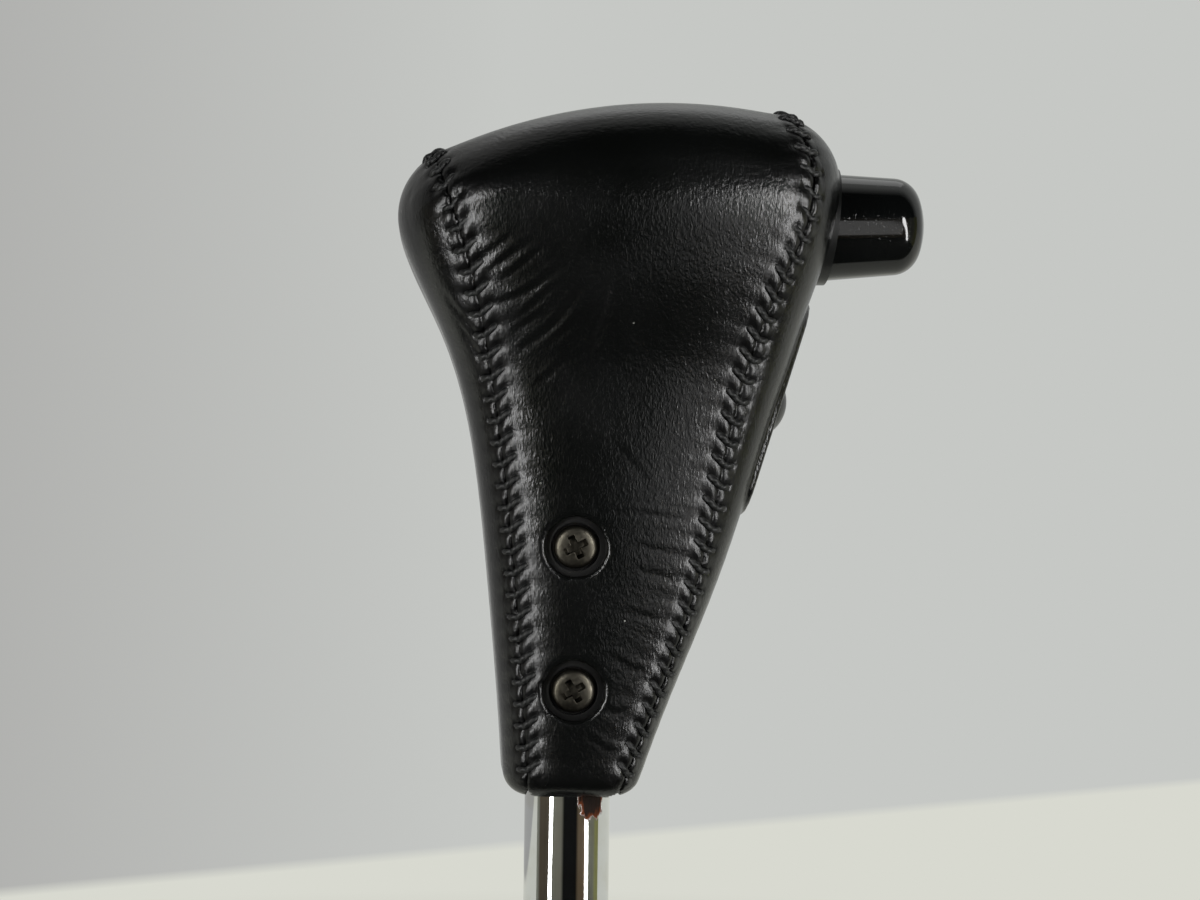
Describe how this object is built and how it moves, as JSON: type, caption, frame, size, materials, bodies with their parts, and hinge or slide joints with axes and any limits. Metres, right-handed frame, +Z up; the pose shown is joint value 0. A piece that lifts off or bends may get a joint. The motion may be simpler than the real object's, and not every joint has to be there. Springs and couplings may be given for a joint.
{
  "type": "gear lever",
  "caption": "Automatic gear lever: stitched black leather grip with a side release button that pushes a rod down inside a chromed tube, and a small overdrive push switch.",
  "frame": {"origin": "middle of the lever tube's foot", "axes": "+Z up the tube, +X towards the release button, -Y towards the side with the screws"},
  "size_m": [0.0865, 0.0432, 0.2014],
  "materials": {
    "chrome": "polished",
    "leather": "semi-gloss grained",
    "thread": "waxed thread",
    "core_plastic": "moulded",
    "button_plastic": "gloss",
    "guide_plastic": "satin",
    "bush_plastic": "moulded",
    "black_screw": "black oxide",
    "steel": "drawn",
    "contact_brass": "bright"
  },
  "bodies": {
    "lever": {"lever_tube": "chrome", "return_spring": "steel", "upper_rod_bush": "bush_plastic", "lower_rod_bush": "bush_plastic", "grip_core": "core_plastic", "grip_screws": "black_screw", "button_guide": "guide_plastic", "leather_saddle": "leather", "leather_outer_strip": "leather", "leather_button_strip": "leather", "outer_seam_thread": "thread", "button_seam_thread": "thread", "switch_plate": "core_plastic", "switch_case": "core_plastic", "switch_spring": "steel", "switch_terminals": "contact_brass"},
    "button": {"release_button": "button_plastic"},
    "rod": {"release_rod": "steel", "rod_cap": "bush_plastic"},
    "overdrive": {"overdrive_button": "button_plastic", "switch_contact": "contact_brass"}
  },
  "joints": [
    {"name": "button_press", "type": "slide", "parent": "lever", "child": "button", "axis": [-0.9997, 0, -0.0262], "range_m": [0, 0.006], "stiffness_N_per_m": 800, "springref_m": -0.006},
    {"name": "rod_press", "type": "slide", "parent": "lever", "child": "rod", "axis": [0, 0, -1], "range_m": [0, 0.006], "deforming": ["return_spring"]},
    {"name": "overdrive_press", "type": "slide", "parent": "lever", "child": "overdrive", "axis": [-0.9565, 0, 0.2917], "range_m": [0, 0.0015], "stiffness_N_per_m": 1000, "springref_m": -0.0015, "deforming": ["switch_spring"]}
  ],
  "couplings": [
    {"joint": "rod_press", "follows": "button_press", "ratio": 1}
  ]
}
